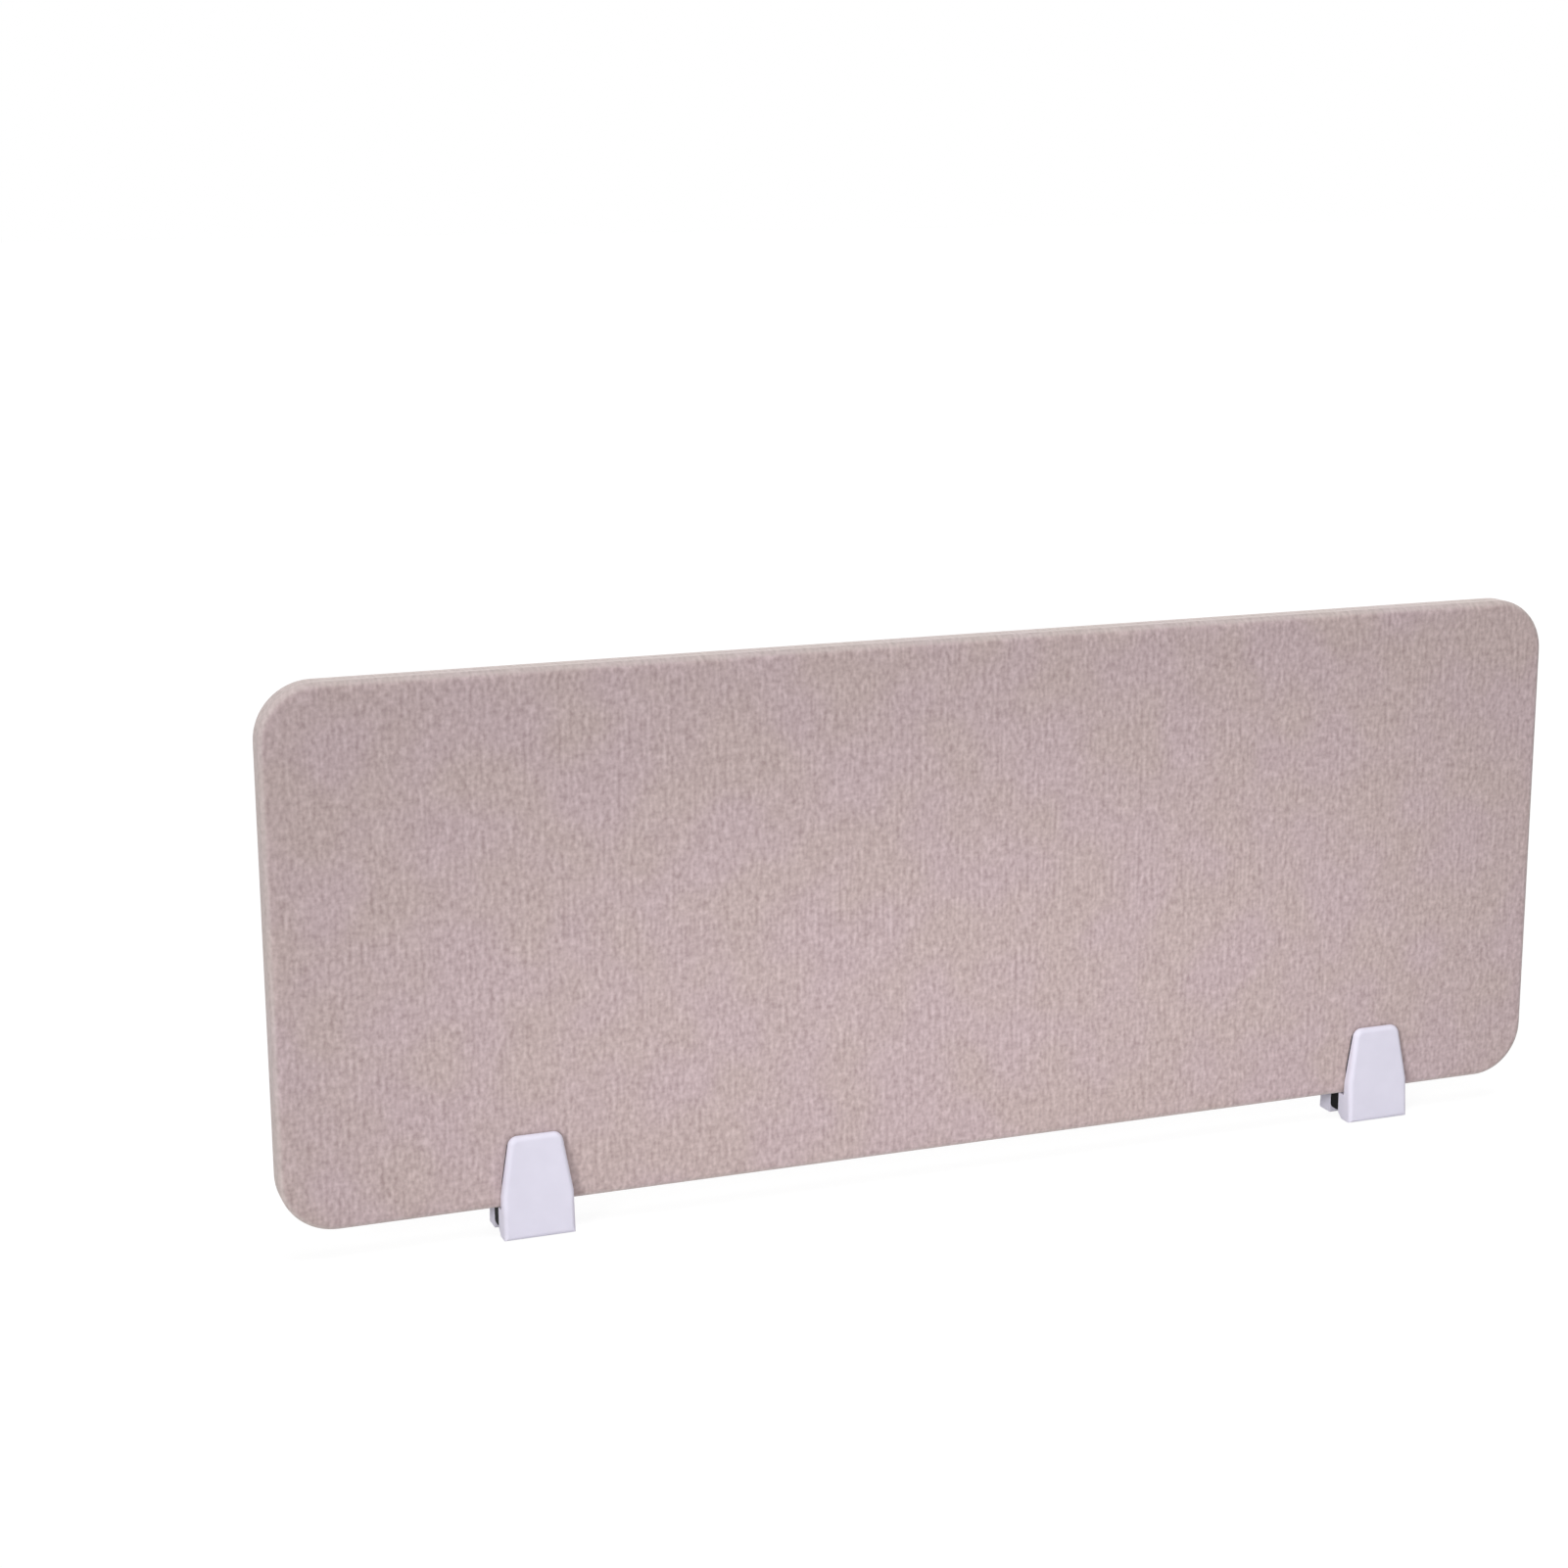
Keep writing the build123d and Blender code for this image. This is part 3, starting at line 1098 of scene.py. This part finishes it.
    def build_front_jaw(self) -> Piece:
        """Model the front jaw, with the slot that the nut slides up into from below.

        Returns:
            The jaw.
        """
        piece = self.jaw_body("front_jaw_shell", self.front_relief)
        combine(piece, self.bore(self.hole, 0, -self.screw[0].y + self.hole_clearance))
        half = self.nut[1].x + self.nut_clearance
        near, far = -self.nut[1].y, -self.nut[0].y + self.nut_clearance
        cut_box(piece, (-half, near, -self.overcut), (half, far, self.axis_height))
        combine(piece, self.bore(half * OVER_CORNERS, near, far, 6))
        flip_to_front(piece)
        return self.finish_off(piece, MOULDED_ABS, self.mould_rounding, 3)

    def build_bridge(self) -> Piece:
        """Model the bridge: a collar under the panel and two guide tongues each way.

        Returns:
            The bridge.
        """
        low, high = self.bridge
        depth = self.base_inner
        half = self.tongue_width / 2
        piece = start_box("bridge_block", (low.x, -depth, low.z), (high.x, depth, high.z))
        with editing(piece):
            pick_edges(piece, lambda a, b: max(a.z, b.z) < low.z + ON_PLANE and abs(a.x - b.x) > depth)
            round_picked(self.bridge_rounding, 6)
            for height in (self.tongue_low, self.tongue_low + self.tongue_height):
                slice_off((0, 0, height), (0, 0, 1), keep=True)
            for place in (-self.tongue_place, self.tongue_place):
                for edge in (-half, half):
                    slice_off((place + edge, 0, 0), (1, 0, 0), keep=True)
            for way in (-1, 1):
                pick_faces(
                    piece,
                    lambda centre, normal: normal.y * way > 0.9
                    and 0 < centre.z - self.tongue_low < self.tongue_height
                    and abs(abs(centre.x) - self.tongue_place) < half,
                )
                extrude_picked((0, way * (high.y - depth), 0))
            bpy.ops.mesh.select_all(action="SELECT")
            bpy.ops.mesh.dissolve_limited(angle_limit=math.radians(1))
        combine(piece, self.bore(self.hole, -2 * depth, 2 * depth))
        return self.finish_off(piece, FILLED_NYLON, self.mould_rounding, 3)

    def build_grip_pad(self, name: str) -> Piece:
        """Model the rear grip pad, with level ribs towards the panel.

        Args:
            name: The piece's name.

        Returns:
            The pad.
        """
        low, high = self.pad
        count = math.floor((high.z - low.z - self.rib_groove) / self.rib_pitch)
        grooves = [low.z + step * self.rib_pitch + self.rib_groove / 2 for step in range(1, count)]
        piece = start_box(name, low, high)
        with editing(piece):
            # The pad's dark rim stands just past the jaw's sides, as a painted shade line beside the jaw
            self.lean_sides_in(self.pad_shade_margin)
            self.round_top_corners(piece, self.top_corner_radius - self.pad_shade_margin)
            self.sink_grooves(piece, grooves, self.rib_groove, (0, 0, 1), (0, self.rib_depth, 0))
        return self.finish_off(piece, GRIP_RUBBER, self.pad_rounding)

    def build_foot_pad(self, name: str, face: Face) -> Piece:
        """Model a foot pad, with grooves across its underside.

        Args:
            name: The piece's name.
            face: Which jaw it is under.

        Returns:
            The pad.
        """
        low, high = self.centred(f"left_{face.name.lower()}_foot_pad")
        pitch = (high.x - low.x) / self.foot_lands
        grooves = [low.x + step * pitch for step in range(1, self.foot_lands)]
        piece = start_box(name, low, high)
        with editing(piece):
            pick_edges(piece, lambda a, b: abs(a.z - b.z) > (high.z - low.z) / 2)
            round_picked(self.foot_corner, 4)
            self.sink_grooves(piece, grooves, self.foot_groove, (1, 0, 0), (0, 0, self.foot_depth))
        return self.finish_off(piece, FOOT_RUBBER, self.foot_rounding)

    def build_screw(self) -> Piece:
        """Model the socket-head screw: threaded shank, knurled head and hexagon socket.

        Returns:
            The screw.
        """
        low, high = self.screw
        under_head = self.washer[1].y
        piece = self.threaded_shank(low.y, under_head + self.overcut)
        combine(piece, self.knurled_head(under_head, high.y, (high.x - low.x) / 2), "UNION")
        corner = self.socket_flats / 2 * OVER_CORNERS
        combine(piece, self.bore(corner, high.y - self.socket_depth, high.y + self.overcut, 6))
        return self.finish_off(piece, ZINC_STEEL, angle=40)

    def threaded_shank(self, tip: float, end: float) -> Piece:
        """Model the screw's shank with its helical thread.

        Args:
            tip: Where the shank's tip is along Y.
            end: Where its other end is along Y.

        Returns:
            The shank.
        """
        middle = self.on_axis((tip + end) / 2)
        rings = round((end - tip) / self.thread_pitch * self.thread_steps)
        piece = start_rod("screw_socket_head", middle, self.screw_radius, end - tip, 28)
        with editing(piece):
            pick_edges(piece, lambda a, b: abs(a.y - b.y) > (end - tip) / 2)
            bpy.ops.mesh.subdivide(number_cuts=rings - 1)
        for vertex in piece.data.vertices:
            arm = vertex.co - self.on_axis(vertex.co.y)
            turn = math.atan2(arm.z, arm.x) / math.tau + vertex.co.y / self.thread_pitch
            groove = abs(2 * (turn % 1) - 1)
            taper = max(0.0, 1 - (vertex.co.y - tip) / self.thread_pitch)
            cut = max(self.thread_depth * groove, (self.thread_depth + self.tip_taper) * taper)
            vertex.co -= arm.normalized() * cut
        return piece

    def knurled_head(self, near: float, far: float, radius: float) -> Piece:
        """Model the screw's head, with a straight knurl and a chamfered top.

        Args:
            near: Its underside along Y.
            far: Its top along Y.
            radius: Its radius over the knurl.

        Returns:
            The head.
        """
        edge = self.head_chamfer
        piece = start_rod("head", self.on_axis((near + far) / 2), radius, far - near, 2 * self.knurl_ribs)
        with editing(piece):
            for place in (near + edge, far - 2 * edge, far - edge):
                slice_off((0, place, 0), (0, 1, 0), keep=True)
            pick_faces(piece, lambda centre, normal: normal.y > 0.9)
            share = (radius - edge) / radius
            bpy.ops.transform.resize(value=(share, 1, share), center_override=self.on_axis(far))
        for vertex in piece.data.vertices:
            arm = vertex.co - self.on_axis(vertex.co.y)
            rib = round(math.atan2(arm.z, arm.x) / math.tau * 2 * self.knurl_ribs)
            if rib % 2 and near + edge / 2 < vertex.co.y < far - 1.5 * edge:
                vertex.co -= arm.normalized() * self.knurl_depth
        return piece

    def build_washer(self) -> Piece:
        """Model the flat washer under the screw's head.

        Returns:
            The washer.
        """
        low, high = self.washer
        thickness = high.y - low.y - self.turning_gap
        middle = self.on_axis(low.y + thickness / 2)
        piece = start_rod("flat_washer", middle, self.washer_radius, thickness, 64)
        combine(piece, self.bore(self.hole, 0, 2 * high.y))
        return self.finish_off(piece, ZINC_STEEL, self.washer_rounding)

    def build_nut(self) -> Piece:
        """Model the captive hexagon nut, with its corners turned off at both ends.

        Returns:
            The nut.
        """
        low, high = self.nut
        corner = (high.x - low.x) / 2 * OVER_CORNERS
        piece = self.bore(corner, low.y, high.y, 6)
        piece.name = piece.data.name = "hexagon_nut"
        turned = self.bore(corner, low.y, high.y)
        with editing(turned):
            pick_edges(turned, lambda a, b: abs(a.y - b.y) < SAME_PLACE)
            round_picked(self.nut_chamfer, 1)
        combine(piece, turned, "INTERSECT")
        combine(piece, self.bore(self.screw_radius + self.thread_clearance, 2 * low.y, 0))
        return self.finish_off(piece, ZINC_STEEL, angle=20)

    def build(self) -> list[Piece]:
        """Model each piece once, and put a copy of it on each clamp.

        Returns:
            The pieces of both clamps.
        """
        front_pad = self.build_grip_pad("front_grip_pad_ribbed")
        flip_to_front(front_pad)
        smooth(front_pad)
        front_jaw, rear_jaw, bridge = self.build_front_jaw(), self.build_rear_jaw(), self.build_bridge()
        rear_pad = self.build_grip_pad("rear_grip_pad_ribbed")
        front_foot = self.build_foot_pad("front_foot_grooved", Face.FRONT)
        rear_foot = self.build_foot_pad("rear_foot_grooved", Face.REAR)
        pieces = []
        for master, node, body, slot in (
            (front_jaw, "front_jaw", "clamp", "clamp_plastic"),
            (rear_jaw, "rear_jaw", "clamp_rear", "clamp_plastic"),
            (bridge, "bridge", "clamp", "bridge_nylon"),
            (front_pad, "front_grip_pad", "clamp", "pad_rubber"),
            (rear_pad, "rear_grip_pad", "clamp_rear", "pad_rubber"),
            (front_foot, "front_foot_pad", "clamp", "foot_rubber"),
            (rear_foot, "rear_foot_pad", "clamp_rear", "foot_rubber"),
            (self.build_screw(), "screw", "clamp_screw", "screw_steel"),
            (self.build_washer(), "washer", "clamp_rear", "screw_steel"),
            (self.build_nut(), "nut", "clamp", "nut_steel"),
        ):
            for side in Side:
                jaw_low, jaw_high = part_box(f"{side.value}_front_jaw")
                shift = (jaw_low.x + jaw_high.x) / 2
                piece = copy_along(master, f"{side.value}_{master.name}", shift)
                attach(piece, f"{side.value}_{body}")
                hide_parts(f"{side.value}_{node}")
                pieces.append(piece)
            bpy.data.objects.remove(master, do_unlink=True)
        return pieces


# ---------------------------------------------------------------- studio


@dataclass(frozen=True)
class DistantLamp:
    """A soft lamp far away."""

    name: str
    strength: float
    source: tuple[float, float, float]  # the direction that its light comes from
    spread: float  # how many degrees across it looks

    def hang(self) -> None:
        """Add the lamp to the scene."""
        lamp = bpy.data.lights.new(self.name, "SUN")
        lamp.energy = self.strength
        lamp.angle = math.radians(self.spread)
        hung = bpy.data.objects.new(self.name, lamp)
        hung.rotation_euler = Vector(self.source).to_track_quat("Z", "Y").to_euler()
        bpy.context.scene.collection.objects.link(hung)


@dataclass
class Studio:
    """A plain white studio: floor, soft lamps and the camera."""

    camera_place: tuple[float, float, float] = (-0.8203, -1.8765, 0.7666)
    camera_heading: float = 20.16  # degrees that the camera looks to the right of +Y
    camera_tilt: float = 12.60  # degrees that it looks down
    camera_roll: float = -0.36
    camera_lens: float = 63.45  # millimetres, as is its sensor
    camera_sensor: float = 36.0
    sky_light: float = 0.12
    lamps: tuple[DistantLamp, ...] = (
        # The key is narrow, for shadows that stay dark close to the clamps, and the others are wide
        DistantLamp("key_light", 1.6, (-0.69, -0.62, 0.37), 16.0),
        DistantLamp("top_light", 1.5, (0.06, -0.12, 0.99), 34.0),
        DistantLamp("back_light", 2.0, (0.42, 0.89, 0.17), 34.0),
    )
    strip_light: float = 0.62
    strip_place: tuple[float, float, float] = (-0.04, -0.35, 0.16)
    strip_size: tuple[float, float] = (1.0, 0.16)
    floor_half: float = 30.0
    floor_colour: str = "#CCCCCC"
    floor_shade: float = 0.12  # the seen floor's own colour, which takes the object's shadow
    floor_glow: float = 0.92  # the rest of its white

    def build(self) -> None:
        """Build the camera, the sky, the lamps and the floor."""
        self.add_camera()
        self.add_sky()
        for lamp in self.lamps:
            lamp.hang()
        self.add_strip()
        self.add_floor()
        bpy.context.scene.view_settings.view_transform = "Standard"

    def add_camera(self) -> None:
        """Put the camera at its place, looking at the panel."""
        camera = bpy.data.objects.new("camera", bpy.data.cameras.new("camera"))
        camera.data.lens = self.camera_lens
        camera.data.sensor_width = self.camera_sensor
        turn = Matrix.Rotation(math.radians(-self.camera_heading), 4, "Z")
        turn @= Matrix.Rotation(math.radians(90 - self.camera_tilt), 4, "X")
        turn @= Matrix.Rotation(math.radians(self.camera_roll), 4, "Z")
        camera.matrix_world = Matrix.Translation(self.camera_place) @ turn
        bpy.context.scene.collection.objects.link(camera)
        bpy.context.scene.camera = camera

    def show_or_light(self, tree: Tree, lit: Socket, seen: Socket, output: str) -> None:
        """Let a backdrop light the object with one shader, and be seen with another one.

        Rays from the camera and rays off or through gloss see it, and all others are its light.

        Args:
            tree: The backdrop's node tree.
            lit: The shader that lights the object.
            seen: The shader that is seen.
            output: The type of the tree's output node.
        """
        rays = add_node(tree, "LightPath").outputs
        share = rays["Is Camera Ray"]
        for kind in ("Is Glossy Ray", "Is Transmission Ray"):
            share = add_node(tree, "Math", {0: share, 1: rays[kind]}, operation="MAXIMUM").outputs[0]
        mix = add_node(tree, "MixShader", {0: share, 1: lit, 2: seen})
        add_node(tree, output, {"Surface": mix.outputs[0]})

    def add_sky(self) -> None:
        """Make the sky white to the eye, with an even soft light of its own strength."""
        world = bpy.data.worlds.new("studio_sky")
        world.use_nodes = True
        bpy.context.scene.world = world
        tree = world.node_tree
        tree.nodes.clear()
        lit, seen = (
            add_node(tree, "Background", {"Color": (1, 1, 1, 1), "Strength": strength}).outputs[0]
            for strength in (self.sky_light, 1.0)
        )
        self.show_or_light(tree, lit, seen, "OutputWorld")

    def add_strip(self) -> None:
        """Lay a strip lamp low in front of the panel, which fades towards its top and its ends."""
        lamp = bpy.data.lights.new("front_strip", "AREA")
        lamp.shape = "RECTANGLE"
        lamp.size, lamp.size_y = self.strip_size
        lamp.energy = self.strip_light
        strip = bpy.data.objects.new("front_strip", lamp)
        strip.location = self.strip_place
        strip.rotation_euler = (math.radians(90), 0, 0)
        strip.visible_camera = False
        bpy.context.scene.collection.objects.link(strip)

    def add_floor(self) -> None:
        """Lay the floor: white to the eye where nothing shades it, and matt for its light."""
        bpy.ops.object.select_all(action="DESELECT")
        bpy.ops.mesh.primitive_grid_add(x_subdivisions=2, y_subdivisions=2, size=2 * self.floor_half)
        floor = settle("studio_floor")
        material = bpy.data.materials.new("matt_white_sweep")
        material.use_nodes = True
        material.cycles.emission_sampling = "NONE"
        tree = material.node_tree
        tree.nodes.clear()
        shade = self.floor_shade
        matt = add_node(tree, "BsdfDiffuse", {"Color": linear(self.floor_colour)}).outputs[0]
        shaded = add_node(tree, "BsdfDiffuse", {"Color": (shade, shade, shade, 1)}).outputs[0]
        glow = add_node(tree, "Emission", {"Color": (1, 1, 1, 1), "Strength": self.floor_glow}).outputs[0]
        seen = add_node(tree, "AddShader", {0: shaded, 1: glow}).outputs[0]
        self.show_or_light(tree, matt, seen, "OutputMaterial")
        floor.data.materials.append(material)


def main() -> None:
    """Build the studio, the panel and the clamps, and report each piece."""
    logging.basicConfig(level=logging.INFO, format="%(name)s: %(message)s")
    Studio().build()
    for assembly in (PaddedPanel(), Clamp()):
        for piece in assembly.build():
            log.info("%s: %d faces", piece.name, len(piece.data.polygons))


if __name__ == "__main__":
    main()
